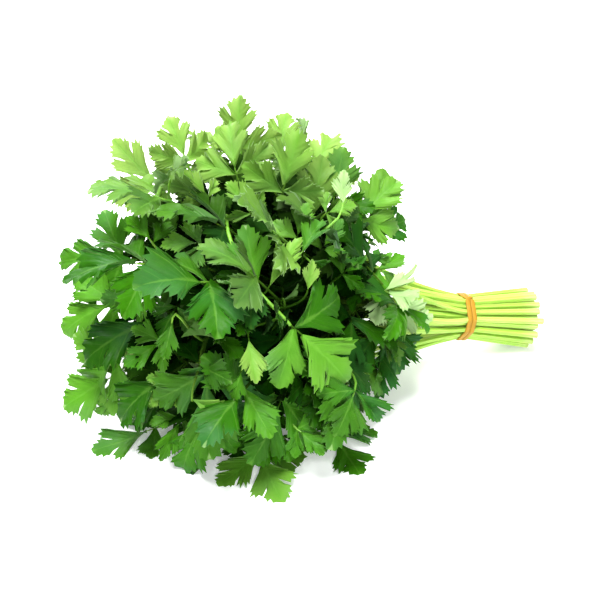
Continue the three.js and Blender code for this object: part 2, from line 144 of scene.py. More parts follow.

# More sprays that stand out: where the leaflets meet, where the middle one ends, and how much painted light
# they get. Those with a sun of one are turned over.
ALL_LEAFLETS, ONE_LEAFLET = (0, 1, -1), (0,)
STANDING_OUT = [
    ((-161, -53, 122), (-159, -37, 151), 0.22, ONE_LEAFLET),
    ((-156, -53, 120), (-135, -43, 150), 0.75, ONE_LEAFLET),
    ((-130, -55, 116), (-126, -50, 132), 0.8, ONE_LEAFLET),
    ((-242, -13, 64), (-262, -25, 51), 0.95),
    ((-250, -10, 38), (-281, -14, 31), 0.25),
    ((-248, -20, 28), (-269, -27, 20), 0.15),
    ((-74, -38, 56), (-76, -64, 30), 0.0),
    ((-84, -42, 60), (-92, -65, 36), 0.05),
    ((-69, -27, 86), (-50, -46, 79), 1.0),
    ((-71, -43, 74), (-55, -60, 68), 1.0),
    ((-239, -23, 28), (-259, -29, 22), 0.2),
    ((-230, -23, 48), (-253, -29, 41), 0.35),
    ((-250, 5, 66), (-257, 15, 85), 0.4),
    ((-219, -54, 60), (-233, -62, 53), 0.55),
    ((-221, -37, 82), (-241, -43, 76), 0.1),
    ((-224, -3, 94), (-247, -2, 95), 0.2),
    ((-215, -59, 34), (-229, -72, 21), 0.1),
    ((-186, -2, 128), (-205, 0, 133), 0.3),
    ((-187, -38, 118), (-209, -41, 115), 0.15),
    ((-247, -7, 54), (-270, -5, 57), 0.3),
    ((-208, -24, 98), (-222, -37, 85), 0.0),
    ((-178, -79, 84), (-191, -93, 70), 0.1),
    ((-111, -22, 124), (-99, -19, 141), 0.2),
    ((-100, -31, 108), (-86, -32, 120), 0.05),
    ((-99, 11, 128), (-83, 7, 137), 0.5),
    ((-126, -15, 130), (-120, -8, 149), 0.35),
    ((-174, 34, 138), (-184, 42, 153), 0.75),
    ((-151, 6, 140), (-160, 14, 156), 0.6),
    ((-197, 69, 128), (-222, 64, 121), 0.8),
    ((-255, 21, 72), (-282, 22, 73), 0.1),
    ((-210, -76, 64), (-214, -100, 40), 0.6),
    ((-202, -70, 84), (-202, -97, 58), 0.0),
    ((-108, -90, 60), (-122, -106, 43), 0.05),
    ((-118, -76, 16), (-97, -97, 4), 0.1),
    ((-65, -2, 86), (-47, -20, 80), 0.15),
    ((-69, 3, 90), (-57, -2, 96), 0.1),
    ((-71, -13, 78), (-59, -18, 84), 0.35),
    ((-169, -68, 50), (-166, -81, 43), 0.3),
    ((-146, -90, 36), (-135, -103, 31), 0.12),
    ((-172, -71, 104), (-173, -95, 86), 0.7, ONE_LEAFLET),
    ((-210, -52, 76), (-191, -66, 71), 1.0, ONE_LEAFLET),
    ((-158, -22, 142), (-155, 8, 162), 1.0, ONE_LEAFLET),
    ((-98, -22, 153), (-92, -2, 165), 1.0, ONE_LEAFLET),
    ((-132, -44, 137), (-116, -28, 146), 0.1, ONE_LEAFLET),
    ((-217, -66, 122), (-223, -81, 111), 0.0, ONE_LEAFLET),
]
STANDING_LENGTH = 1.05  # of their leaflets, over the distance between the two places
STANDING_SIDE = 0.9  # of their side leaflets, over the middle one
STANDING_BRANCH = 22  # how long their branches are, as near as a stalk's steps allow
STANDING_FEET = range(20, 48)  # the steps of a stalk that a branch may leave from
STANDING_STEPS = 50  # of a whole stalk
STANDING_EASE = 0.5  # of the usual curl
STANDING_CLEARANCE = 1.0
CROWN_ROUND = (112, 128, 100)  # the crown's reach, alike on every side

# Petioles that show in front of the leaves, each drawn out along four points from its foot to its hub, and the
# sprig that they are part of.
PETIOLES_IN_VIEW_ON = 23
PETIOLES_IN_VIEW = [
    ((-163, 27, 127), (-176, -30, 144), (-166, -49, 135), (-161, -53, 122)),
    ((-161, -53, 122), (-154, -65, 116), (-148, -70, 111), (-145, -70, 105)),
]

# Dark hollows between the leaves, which small sprays stay out of: the middle and the radius of each.
HOLLOWS = [
    ((-183, -45, 80), 20),
    ((-122, -53, 92), 20),
    ((-172, -64, 36), 22),
    ((-100, -55, 76), 16),
    ((-212, -30, 72), 14),
    ((-132, 8, 118), 16),
]

# Small sprays that fill the crown between the others.
FILL_SEED = 4711
FILLS = 8
FILL_AT = (0.45, 0.97)
FILL_LENGTH = (8, 28)
FILL_LEAFLET = (16, 32)
FILL_SIDE = 0.88  # of their side leaflets, over the middle one
FILL_CLEARANCE = 2.0
FILL_AHEAD = (0.2, 1.1)  # how much a branch leans along its stalk
FILL_STRAY = 0.6
FILL_UP = 0.8  # how much they face upwards
FILL_OUT_OVER = 110  # they face outwards as much as this goes into their distance from the crown's middle
FILL_TURNED_OVER = 0.2  # of them show their undersides
FILL_OFF_BAND = 84  # how far they stay from the band
FILL_OFF_FLOOR = 6
FILL_OFF_HOLLOW = 8
FILL_TRIES = 12
FILL_LEAFLET_TRIES = 16


# --- Small helpers ---


def make_draw(seed):
    """The minimal standard generator."""
    state = seed

    def draw(low=0.0, high=1.0):
        nonlocal state
        state = (state * 16807) % 2147483647
        return low + ((high - low) * state) / 2147483647

    return draw


def clamped(value):
    return min(1, max(0, value))


def ramp(value, low, high):
    """How far a value is on its way from low to high, from none to one."""
    return clamped((value - low) / (high - low))


def vec(x, y, z):
    return np.array((x, y, z), float)


def length_of(v):
    return math.sqrt(float(v @ v))


def unit(v):
    return v / length_of(v)


def cross(a, b):
    return vec(a[1] * b[2] - a[2] * b[1], a[2] * b[0] - a[0] * b[2], a[0] * b[1] - a[1] * b[0])


def turned(v, axis, angle):
    c = math.cos(angle)
    return v * c + cross(axis, v) * math.sin(angle) + axis * float(axis @ v) * (1 - c)


def squared_to(v, axis):
    return unit(v - axis * float(v @ axis))


def bezier(bars, t):
    a, b, c, d = bars
    s = 1 - t
    return a * (s * s * s) + b * (3 * s * s * t) + c * (3 * s * t * t) + d * (t * t * t)


def bezier_heading(bars, t):
    a, b, c, d = bars
    s = 1 - t
    return unit((b - a) * (s * s) + (c - b) * (2 * s * t) + (d - c) * (t * t))


# --- Where everything grows ---

BUNDLE_AXIS = vec(math.cos(BUNDLE_TILT), 0, -math.sin(BUNDLE_TILT))
BUNDLE_SIDE = vec(0, 1, 0)
BUNDLE_TOP = vec(math.sin(BUNDLE_TILT), 0, math.cos(BUNDLE_TILT))
BAND_MIDDLE = vec(0, 0, BAND_HEIGHT)


def bundle_point(along, side, top):
    return BAND_MIDDLE + BUNDLE_AXIS * along + BUNDLE_SIDE * side + BUNDLE_TOP * top


class Grown:
    """The points that have grown so far, with the sprig and the part that each belongs to."""

    def __init__(self):
        self.places = np.empty((120000, 3))
        self.owners = np.empty((120000, 2), int)
        self.count = 0

    def add(self, points, sprig, part):
        end = self.count + len(points)
        self.places[self.count : end] = points
        self.owners[self.count : end] = (sprig, part)
        self.count = end

    def around(self, low, high):
        """The points in a box, and their owners."""
        places = self.places[: self.count]
        near = ((places > low) & (places < high)).all(1)
        return places[near], self.owners[: self.count][near]

    def blocked(self, points, reach, sprig=-1, part=0, beside=None, among=None):
        """Whether any point comes too near to one that isn't the sprig's stalk, or its own spray's hub."""
        points = np.asarray(points)
        places, owners = among or (self.places[: self.count], self.owners[: self.count])
        low, high = points.min(0) - reach, points.max(0) + reach
        near = np.arange(len(places))
        for axis in range(3):
            near = near[places[near, axis] > low[axis]]
            near = near[places[near, axis] < high[axis]]
        if not len(near):
            return False
        places, owners = places[near], owners[near]
        gaps = points[:, None, :] - places[None, :, :]
        hits = (gaps * gaps).sum(2) < reach * reach
        own = (owners[:, 0] == sprig) & (owners[:, 1] == 0)
        hits &= ~own[None, :]
        if beside is not None:
            same = (owners[:, 0] == sprig) & (owners[:, 1] == part)
            hits &= ~(beside[:, None] & same[None, :])
        return bool(hits.any())


def blade_points(leaf, along, out):
    """Places on a leaflet, which curls down and is folded up along its rib, and its upper face there."""
    angle = (leaf.curl * along)[:, None]
    face = leaf.normal * np.cos(angle) + leaf.heading * np.sin(angle)
    across = (out * leaf.length * leaf.width)[:, None]
    run = leaf.length / leaf.curl
    places = (
        leaf.base
        + leaf.heading * (run * np.sin(angle))
        + leaf.normal * (run * (np.cos(angle) - 1))
        + leaf.side * (across * math.cos(leaf.fold))
        + face * (np.abs(across) * math.sin(leaf.fold))
    )
    return places, face


def sample_pairs():
    pairs = []
    for row in range(11):
        along = row * SAMPLE_STEP
        half = SHOULDER_OUT * 1.6 * math.sqrt(max(0, 1 - along))
        if along < LOBE[0]:
            half = LOBE[1] * along / LOBE[0]
        steps = math.ceil(half / SAMPLE_STEP)
        for n in range(-steps, steps + 1):
            pairs.append((along, half * n / steps if steps else 0))
    return np.array(pairs, float)


SAMPLES = sample_pairs()


def grow_leaflet(store, draw, node, lean, size, reach=CLEARANCE, tries=LEAFLET_TRIES):
    room = 1.5 * size + reach
    among = store.around(node.place - room, node.place + room)
    for attempt in range(tries):
        loose = attempt / tries
        yaw = lean + draw(-1, 1) * (6 + 14 * loose) * DEGREE
        pitch = draw(-1, 1) * (12 + 46 * loose) * DEGREE
        roll = draw(-1, 1) * (18 + 36 * loose) * DEGREE
        curl = draw(14, 60) * DEGREE * getattr(node, "ease", 1)
        fold = draw(4, 20) * DEGREE
        length = size * draw(0.88, 1.14) * (1 - 0.4 * loose * loose)
        width = draw(0.86, 1.08)
        flat = turned(node.heading, node.normal, yaw)
        across = cross(node.normal, flat)
        heading = turned(flat, across, pitch)
        side = turned(across, heading, roll)
        normal = cross(heading, side)
        base = node.place.copy()
        if lean == 0:
            base = base + node.heading * (MIDDLE_AHEAD * length)
        leaf = SimpleNamespace(base=base, heading=heading, side=side, normal=normal, lean=lean)
        leaf.length, leaf.width, leaf.curl, leaf.fold = length, width, curl, fold
        points = blade_points(leaf, SAMPLES[:, 0], SAMPLES[:, 1])[0]
        press = FLOOR_PRESS * max(0, (abs(normal[2]) - 0.6) / 0.4)
        if (points[:, 2] <= BLADE_THICKNESS / 2 - press).any():
            continue
        points[:, 2] = np.maximum(points[:, 2], BLADE_THICKNESS / 2)
        beside = np.sqrt(((points - node.place) ** 2).sum(1)) < 0.34 * length
        if store.blocked(points, reach, node.sprig, node.part, beside, among):
            continue
        store.add(points, node.sprig, node.part)
        return leaf
    return None


def grow_spray(store, draw, node, middle, side, reach=CLEARANCE, tries=LEAFLET_TRIES):
    leaflets = []
    for hand in getattr(node, "leaflets", ALL_LEAFLETS):
        leaf = grow_leaflet(store, draw, node, hand * SIDE_LEAN, side if hand else middle, reach, tries)
        if leaf:
            leaflets.append(leaf)
    return SimpleNamespace(node=node, leaflets=leaflets) if leaflets else None


def crown_place(ring, turn, depth):
    share = ring / math.sqrt(SPRIGS)
    polar = math.acos(1 - (1 - math.cos(CROWN_SPREAD)) * share * share)
    out = vec(-math.cos(polar), math.sin(polar) * math.cos(turn), math.sin(polar) * math.sin(turn))
    front_back = CROWN_REACH["front" if out[1] < 0 else "back"]
    reach = vec(CROWN_REACH["along"], front_back, CROWN_REACH["under" if out[2] < 0 else "over"])
    return vec(*CROWN_MIDDLE) + reach * out * depth, unit(out / reach)


def stalk_point(bars, t):
    following = max(1, next(i for i, step in enumerate(STALK_STEPS) if step >= t))
    low, high = STALK_STEPS[following - 1], STALK_STEPS[following]
    share = (t - low) / (high - low)
    return bezier(bars, low) * (1 - share) + bezier(bars, high) * share


def path_between(start, end):
    count = math.ceil(length_of(end - start) / PATH_STEP)
    return [start * (1 - (i + 1) / count) + end * ((i + 1) / count) for i in range(count)]


def stalk_path(bars):
    path = []
    for low, high in zip(STALK_STEPS, STALK_STEPS[1:]):
        path += path_between(bezier(bars, low), bezier(bars, high))
    return np.array(path)


def plan_stalk(store, draw, index, leader):
    ring = math.sqrt(index + 0.5)
    turn = index * GOLDEN_ANGLE
    side = STALK_PITCH * ring * math.cos(turn)
    top = STALK_PITCH * ring * math.sin(turn)
    cut = bundle_point(CUT_LENGTH + draw(-1, 1) * CUT_RAGGED, side * CUT_FLARE, top * CUT_FLARE)
    band = bundle_point(0, side, top)
    for attempt in range(STALK_TRIES + 1):
        loose = attempt / STALK_TRIES
        stray_turn = turn + draw(-1, 1) * 0.4 * loose
        tip, skin = crown_place(ring, stray_turn, draw(*TIP_DEPTH) * (1 - 0.3 * loose))
        if leader:
            tip = vec(*leader[1])
        span = length_of(tip - band)
        heading = unit((tip - band) * (0.7 / span) + skin * 0.65 + UP * -DROOP)
        heading[2] = max(heading[2], -(tip[2] - 3) / LEAFLET["middle"])
        if leader:
            heading = vec(*leader[2]) - tip
        heading = unit(heading)
        fan = 1 + STALK_FAN * span
        stray = STALK_STRAY * loose
        leave_side = side * fan + draw(-1, 1) * stray
        leave = bundle_point(-0.36 * span, leave_side, top * fan + draw(-1, 1) * stray)
        arrive = tip + heading * (-0.32 * span)
        arrive[2] = max(arrive[2], 4)
        bars = [band, leave, arrive, tip]
        steps = stalk_path(bars)
        steps = steps[np.sqrt(((steps - band) ** 2).sum(1)) > BUNCHED]
        if attempt < STALK_TRIES and store.blocked(steps, CLEARANCE):
            continue
        store.add(steps, index, 0)
        looks = (UP if tip[2] < LOWEST else LEADER_FACE) if leader else UP * 0.85 + skin * 0.7
        normal = squared_to(looks, heading)
        size = leader[3] if leader else 1
        sprig = SimpleNamespace(index=index, cut=cut, bars=bars, heading=heading, normal=normal)
        sprig.size, sprig.sprays = size, []
        return sprig


def grow_tip(store, draw, sprig):
    tip = sprig.bars[3]
    node = SimpleNamespace(
        part=TIP_PART,
        sprig=sprig.index,
        foot=tip - sprig.heading * TIP_BRANCH,
        place=tip + sprig.heading * TIP_BRANCH,
        heading=sprig.heading,
        normal=sprig.normal,
    )
    return grow_spray(store, draw, node, LEAFLET["middle"] * sprig.size, LEAFLET["side"] * sprig.size)


def grow_branch(store, draw, sprig, hand):
    at = draw(*BRANCH_AT)
    foot = stalk_point(sprig.bars, at)
    ahead = bezier_heading(sprig.bars, at)
    face = squared_to(sprig.normal, ahead)
    for attempt in range(BRANCH_TRIES):
        lean = hand * (BRANCH_LEAN + draw(-14, 14) * DEGREE)
        lift = draw(-1, 1) * (16 + 5 * attempt) * DEGREE
        length = BRANCH_LENGTH * draw(0.8, 1.15) * (1 - 0.04 * attempt)
        flat = turned(ahead, face, lean)
        heading = turned(flat, cross(face, flat), lift)
        place = foot + heading * length
        if place[2] < 4:
            continue
        steps = np.array(path_between(foot * 0.8 + place * 0.2, place))
        if store.blocked(steps, CLEARANCE, sprig.index):
            continue
        normal = squared_to(face, heading)
        part = 2 if hand == 1 else 3
        node = SimpleNamespace(part=part, sprig=sprig.index, foot=foot, place=place)
        node.heading, node.normal = heading, normal
        spray = grow_spray(store, draw, node, LEAFLET["low_middle"], LEAFLET["low_side"])
        if not spray:
            continue
        store.add(steps, sprig.index, part)
        return spray
    return None


def keep_in_view(store, spray):
    """Holds the room in front of a spray's leaflets, so that no small leaflet covers them."""
    for leaf in spray.leaflets:
        places = blade_points(leaf, SAMPLES[:, 0], SAMPLES[:, 1])[0]
        for gap in KEPT_FREE:
            store.add(places + leaf.normal * gap, -2, 0)


def grow_standing_out(store, draw, sprigs, hub, end, sun, leaflets=ALL_LEAFLETS):
    """A spray at a given place, on a branch from the stalk that suits its length best."""
    hub, end = vec(*hub), vec(*end)
    gaps = []
    for sprig in sprigs:
        for step in STANDING_FEET:
            at = step / STANDING_STEPS
            gap = length_of(bezier(sprig.bars, at) - hub)
            gaps.append((abs(gap - STANDING_BRANCH), sprig.index, at))
    _, index, at = min(gaps)
    sprig = next(s for s in sprigs if s.index == index)
    heading = unit(end - hub)
    outward = unit((hub - vec(*CROWN_MIDDLE)) / vec(*CROWN_ROUND))
    node = SimpleNamespace(
        part=STANDING_PARTS + len(sprig.sprays),
        sprig=index,
        foot=bezier(sprig.bars, at),
        leaves_stalk=bezier_heading(sprig.bars, at),
        place=hub,
        heading=heading,
        normal=squared_to(outward * 0.5 + UP * 0.1 + LEADER_FACE, heading) * (-1 if sun == 1 else 1),
        sun=sun,
        ease=STANDING_EASE,
        leaflets=leaflets,
    )
    size = STANDING_LENGTH * length_of(end - hub)
    spray = grow_spray(store, draw, node, size, size * STANDING_SIDE, STANDING_CLEARANCE)
    if spray:
        sprig.sprays.append(spray)
        keep_in_view(store, spray)


def grow_fill(store, draw, sprig, part):
    """A small spray that fills a gap, on a branch that leaves the stalk anywhere round it."""
    for _ in range(FILL_TRIES):
        at = draw(*FILL_AT)
        foot = stalk_point(sprig.bars, at)
        ahead = bezier_heading(sprig.bars, at)
        face = squared_to(UP, ahead)
        around = turned(face, ahead, draw(-1, 1) * math.pi)
        heading = unit(ahead * draw(*FILL_AHEAD) + around)
        place = foot + heading * draw(*FILL_LENGTH)
        if place[2] < FILL_OFF_FLOOR or length_of(place - BAND_MIDDLE) < FILL_OFF_BAND:
            continue
        if any(length_of(place - vec(*middle)) < radius + FILL_OFF_HOLLOW for middle, radius in HOLLOWS):
            continue
        if store.blocked(np.array(path_between(foot * 0.6 + place * 0.4, place)), FILL_CLEARANCE, sprig.index):
            continue
        heading = unit(heading + vec(draw(-1, 1), draw(-1, 1), draw(-1, 0.5)) * FILL_STRAY)
        loose = vec(draw(-1, 1), draw(-1, 1), draw(-1, 1))
        normal = squared_to(UP * FILL_UP + (place - vec(*CROWN_MIDDLE)) / FILL_OUT_OVER + loose, heading)
        node = SimpleNamespace(part=part, sprig=sprig.index, foot=foot, place=place)
        node.heading, node.normal = heading, normal
        node.leaves_stalk = ahead
        if draw(0, 1) < FILL_TURNED_OVER:
            node.normal = -node.normal
        size = draw(*FILL_LEAFLET)
        spray = grow_spray(store, draw, node, size, size * FILL_SIDE, FILL_CLEARANCE, FILL_LEAFLET_TRIES)
        if spray:
            return spray
    return None


def plan_sprigs():
    draw = make_draw(SEED)
    store = Grown()
    leaders = {leader[0] - 1: leader for leader in LEADERS}
    order = list(leaders) + [i for i in range(SPRIGS - 1, -1, -1) if i not in leaders]
    sprigs = [plan_stalk(store, draw, i, leaders.get(i)) for i in order]
    for sprig in sprigs:
        sprig.sprays.append(grow_tip(store, draw, sprig))
    for sprig in sprigs:
        for hand in (1, -1):
            sprig.sprays.append(grow_branch(store, draw, sprig, hand))
    for sprig in sprigs:
        sprig.sprays = [spray for spray in sprig.sprays if spray]
        for spray in sprig.sprays:
            if spray.node.part == TIP_PART and sprig.index + 1 in TIP_SUN:
                spray.node.sun = TIP_SUN[sprig.index + 1]
            if spray.node.part == TIP_PART and sprig.index in leaders:
                keep_in_view(store, spray)
    fill_draw = make_draw(FILL_SEED)
    for row in STANDING_OUT:
        grow_standing_out(store, fill_draw, sprigs, *row)
    for round_number in range(FILLS):
        for sprig in sprigs:
            spray = grow_fill(store, fill_draw, sprig, FILL_PARTS + round_number)
            if spray:
                sprig.sprays.append(spray)
    return sorted(sprigs, key=lambda sprig: sprig.index)


sprigs = plan_sprigs()

# From the layout, whose origin is under the band, to the part's frame in metres.
band_low, band_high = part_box("rubber_band")
LAYOUT_SHIFT = np.array((band_low + band_high) / 2) / MM - BAND_MIDDLE


def in_frame(place):
    return Vector((np.asarray(place) + LAYOUT_SHIFT) * MM)


# --- Materials ---

PAINTED_SHADE_GREEN = (0.0008, 0.012, 0.0004)  # painted shade: the dark green that leaves and stalks go over to deep in the crown


class Finish:
    """A material whose nodes are added by short calls."""

    def __init__(self, name):
        self.material = bpy.data.materials.new(name)
        self.material.use_nodes = True
        self.nodes = self.material.node_tree.nodes
        self.links = self.material.node_tree.links
        self.shader = self.nodes["Principled BSDF"]
        self.output = self.nodes["Material Output"]
        self.object_place = self.nodes.new("ShaderNodeTexCoord").outputs["Object"]

    def set(self, socket, value):
        if isinstance(value, bpy.types.NodeSocket):
            self.links.new(value, socket)
        else:
            socket.default_value = value

    def give(self, name, value):
        """Sets one of the shader's own sockets."""
        self.set(self.shader.inputs[name], value)

    def attribute(self, name):
        node = self.nodes.new("ShaderNodeAttribute")
        node.attribute_name = name
        return node.outputs["Fac"]

    def noise(self, scale, detail=3.0, stretch=None):
        node = self.nodes.new("ShaderNodeTexNoise")
        node.inputs["Scale"].default_value = scale
        node.inputs["Detail"].default_value = detail
        place = self.object_place
        if stretch:
            mapping = self.nodes.new("ShaderNodeMapping")
            mapping.inputs["Scale"].default_value = stretch
            self.links.new(place, mapping.inputs["Vector"])
            place = mapping.outputs["Vector"]
        self.links.new(place, node.inputs["Vector"])
        return node.outputs["Fac"]

    def math(self, operation, a, b=0.0, clamp=False):
        node = self.nodes.new("ShaderNodeMath")
        node.operation = operation
        node.use_clamp = clamp
        self.set(node.inputs[0], a)
        self.set(node.inputs[1], b)
        return node.outputs[0]

    def times(self, a, b):
        return self.math("MULTIPLY", a, b)

    def span(self, value, low, high, to_low=0.0, to_high=1.0):
        node = self.nodes.new("ShaderNodeMapRange")
        node.interpolation_type = "SMOOTHSTEP"
        self.set(node.inputs["Value"], value)
        for name, number in zip(("From Min", "From Max", "To Min", "To Max"), (low, high, to_low, to_high)):
            node.inputs[name].default_value = number
        return node.outputs["Result"]

    def blend(self, share, a, b):
        node = self.nodes.new("ShaderNodeMix")
        node.data_type = "RGBA"
        self.set(node.inputs["Factor"], share)
        for socket, value in zip((node.inputs[6], node.inputs[7]), (a, b)):
            self.set(socket, value if isinstance(value, bpy.types.NodeSocket) else (*value, 1))
        return node.outputs[2]

    def with_painted_shade(self, colour, shade, most=0.93):
        """A colour with painted shade: it goes over to a dark green as the place lies deeper in the crown."""
        return self.blend(self.times(shade, most), colour, PAINTED_SHADE_GREEN)

    def bump(self, height, strength, distance):
        node = self.nodes.new("ShaderNodeBump")
        node.inputs["Strength"].default_value = strength
        node.inputs["Distance"].default_value = distance
        self.links.new(height, node.inputs["Height"])
        self.give("Normal", node.outputs["Normal"])
        return node.outputs["Normal"]


def leaf_finish(
    name, deep, fresh, bluish, sunny, vein_colour, vein_share, rough, glow, glow_share, vein_height
):
    """The green of one face of the leaflets, with its veins, painted light on the sunny ones, painted shade
    deep in the crown, and the light that comes through it.
    """
    finish = Finish(name)
    vein, rib, tone, sun, shade = (finish.attribute(name) for name in ("vein", "rib", "tone", "sun", "shade"))
    rib_line = finish.span(rib, 0.03, 0.12, 1, 0)
    vein_line = finish.times(finish.span(vein, 0.08, 0.3, 1, 0), finish.span(rib, 0.8, 1.0, 1, 0.2))
    lines = finish.math("MAXIMUM", rib_line, vein_line)
    mottle = finish.noise(170)
    green = finish.math("ADD", finish.times(tone, 0.85), finish.times(mottle, 0.3), clamp=True)
    colour = finish.blend(green, deep, fresh)
    colour = finish.blend(finish.span(finish.noise(24, 1.0), 0.47, 0.65, 0, 0.5), colour, bluish)
    towards_rim = finish.times(finish.span(rib, 0.0, 0.85, 0.6, 1.0), finish.span(mottle, 0.2, 0.8, 0.8, 1.0))
    # Painted light: sunlit yellow-green over the leaflets that get the most, more towards the rim.
    colour = finish.blend(finish.times(sun, towards_rim), colour, sunny)
    colour = finish.blend(finish.times(lines, vein_share), colour, vein_colour)
    # Painted shade: the base colour goes over to dark green deeper in the crown, and the specular fades with
    # it.
    finish.give("Base Color", finish.with_painted_shade(colour, shade))
    finish.give("Roughness", finish.span(finish.noise(420), 0.3, 0.7, rough - 0.07, rough + 0.09))
    finish.give("Specular IOR Level", finish.span(shade, 0.1, 0.9, 0.12, 0))
    wrinkle = finish.times(finish.noise(620, 2.0), 0.35)
    height = finish.math("ADD", finish.times(lines, vein_height), wrinkle)
    normal = finish.bump(height, 0.55, 0.0006)
    through = finish.nodes.new("ShaderNodeBsdfTranslucent")
    # Painted light: the light through the leaflet turns yellow-green with the sun, and dark with the painted
    # shade.
    shine = finish.blend(finish.times(lines, 0.3), finish.blend(sun, *glow), fresh)
    finish.set(through.inputs["Color"], finish.with_painted_shade(shine, shade, 0.96))
    finish.links.new(normal, through.inputs["Normal"])
    both = finish.nodes.new("ShaderNodeMixShader")
    both.inputs["Fac"].default_value = glow_share
    finish.links.new(finish.shader.outputs["BSDF"], both.inputs[1])
    finish.links.new(through.outputs["BSDF"], both.inputs[2])
    finish.links.new(both.outputs["Shader"], finish.output.inputs["Surface"])
    return finish.material


leaf_upper = leaf_finish(
    "leaf_upper",
    deep=(0.0035, 0.042, 0.001),
    fresh=(0.062, 0.27, 0.004),
    bluish=(0.032, 0.14, 0.042),
    sunny=(0.26, 0.41, 0.085),
    vein_colour=(0.2, 0.45, 0.06),
    vein_share=0.24,
    rough=0.46,
    glow=((0.09, 0.36, 0.005), (0.42, 0.57, 0.11)),
    glow_share=0.26,
    vein_height=-0.35,
)
leaf_under = leaf_finish(
    "leaf_under",
    deep=(0.045, 0.15, 0.018),
    fresh=(0.15, 0.33, 0.065),
    bluish=(0.12, 0.27, 0.1),
    sunny=(0.44, 0.64, 0.28),
    vein_colour=(0.32, 0.52, 0.17),
    vein_share=0.45,
    rough=0.6,
    glow=((0.1, 0.38, 0.01), (0.46, 0.66, 0.12)),
    glow_share=0.3,
    vein_height=0.6,
)


def stalk_finish():
    """Pale yellow-green at the cut end, and greener towards the leaves, with fine lines along it."""
    finish = Finish("stalk")
    way, tone, ridge, shade = (finish.attribute(name) for name in ("way", "tone", "ridge", "shade"))
    fleck = finish.noise(90, 4.0, (0.35, 1.6, 1.6))
    pale = finish.blend(tone, (0.32, 0.55, 0.065), (0.49, 0.65, 0.14))
    green = finish.blend(tone, (0.11, 0.31, 0.025), (0.22, 0.44, 0.055))
    colour = finish.blend(finish.span(way, 0.32, 0.85), pale, green)
    colour = finish.blend(finish.span(way, 0.0, 0.06, 0.5, 0), colour, (0.6, 0.68, 0.28))
    groove = finish.times(finish.span(ridge, 0.15, 0.75, 1, 0), 0.45)
    colour = finish.blend(groove, colour, (0.17, 0.35, 0.015))
    colour = finish.blend(finish.span(fleck, 0.5, 0.75, 0, 0.3), colour, (0.2, 0.5, 0.05))
    # Painted shade: the stalk goes over to dark green deeper in the crown, and its specular fades with it.
    finish.give("Base Color", finish.with_painted_shade(colour, shade))
    finish.give("Specular IOR Level", finish.span(shade, 0.1, 0.9, 0.3, 0))
    finish.give("Roughness", finish.span(fleck, 0.3, 0.7, 0.34, 0.5))
    finish.give("Subsurface Weight", 0.25)
    finish.give("Subsurface Radius", (0.0025, 0.0025, 0.0006))
    finish.give("Subsurface Scale", 0.6)
    finish.bump(fleck, 0.35, 0.0008)
    return finish.material


stalk_skin = stalk_finish()


def cut_finish():
    """The moist cut face of a stalk: a pale ring round a whiter pith."""
    finish = Finish("cut_face")
    pith = finish.attribute("pith")
    fleck = finish.noise(900, 4.0)
    colour = finish.blend(pith, (0.48, 0.64, 0.18), (0.7, 0.77, 0.42))
    colour = finish.blend(finish.span(fleck, 0.45, 0.8, 0, 0.5), colour, (0.45, 0.62, 0.16))
    finish.give("Base Color", colour)
    finish.give("Roughness", finish.span(fleck, 0.3, 0.7, 0.3, 0.5))
    finish.bump(fleck, 0.6, 0.0005)
    return finish.material


cut_face = cut_finish()


def rubber_finish():
    finish = Finish("band_rubber")
    speck = finish.noise(700, 4.0)
    cloud = finish.noise(60, 2.0)
    colour = finish.blend(cloud, (0.3, 0.15, 0.01), (0.4, 0.22, 0.018))
    colour = finish.blend(finish.span(speck, 0.55, 0.8, 0, 0.4), colour, (0.46, 0.28, 0.04))
    finish.give("Base Color", colour)
    finish.give("Roughness", finish.span(speck, 0.3, 0.7, 0.45, 0.65))
    finish.give("Specular IOR Level", 0.2)
    finish.bump(speck, 0.4, 0.0004)
    return finish.material


band_rubber = rubber_finish()


def layers_of(bm, *names):
    floats = bm.verts.layers.float
    return [floats.get(name) or floats.new(name) for name in names]


def put_in_order(bm):
    """Sorts the faces by their places, because extruding makes them in another order in each run."""

    def place_of(face):
        return (*face.calc_center_median(), *face.verts[0].co)

    for rank, face in enumerate(sorted(bm.faces, key=place_of)):
        face.index = rank
    bm.faces.sort()


def mesh_from(bm, name, *materials):
    mesh = bpy.data.meshes.new(name)
    bm.to_mesh(mesh)
    bm.free()
    for material in materials:
        mesh.materials.append(material)
    return mesh


def object_from(mesh):
    made = bpy.data.objects.new(mesh.name, mesh)
    bpy.context.scene.collection.objects.link(made)
    return made


# --- A flat leaflet to shape the others from ---

# Half of the toothed outline from the foot to the tip, as shares of the length: how far along and out each
# place is, where on the rib its row starts, and whether a vein runs to it, which is at the tip of a tooth.
OUTLINE = [
    (0.0, 0.014, 0.0, 1),
    (0.2, 0.118, 0.03, 1),
    (0.385, 0.24, 0.06, 1),
    (0.46, 0.33, 0.09, 0.22),
    (0.48, 0.3, 0.115, 1),
    (0.555, 0.41, 0.145, 0.2),
    (0.57, 0.368, 0.175, 1),
    (0.66, 0.462, 0.205, 0),
    (0.625, 0.36, 0.235, 1),
    (0.735, 0.39, 0.265, 0.2),
    (0.68, 0.3, 0.3, 1),
    (0.745, 0.268, 0.335, 0.22),
    (0.54, 0.115, 0.42, 1),
    (0.675, 0.165, 0.46, 1),
    (0.775, 0.254, 0.5, 0.2),
    (0.785, 0.21, 0.545, 1),
    (0.865, 0.24, 0.59, 0.15),
    (0.83, 0.158, 0.645, 1),
    (0.94, 0.162, 0.7, 0.2),
    (0.93, 0.1, 0.77, 1),
    (0.995, 0.058, 0.86, 0.22),
    (1.0, 0.0, 1.0, 0),
]
SINUS_ROW = 12
SINUS_STRAY = (-0.05, 0.04)
RIM_STRAY = (0.012, 0.01)  # along and out
BREADTH = (0.9, 1.08)
COLUMNS = 4
BLANKS = 6
BLANK_SEEDS = (90001, 77)  # the first, and the step to the next


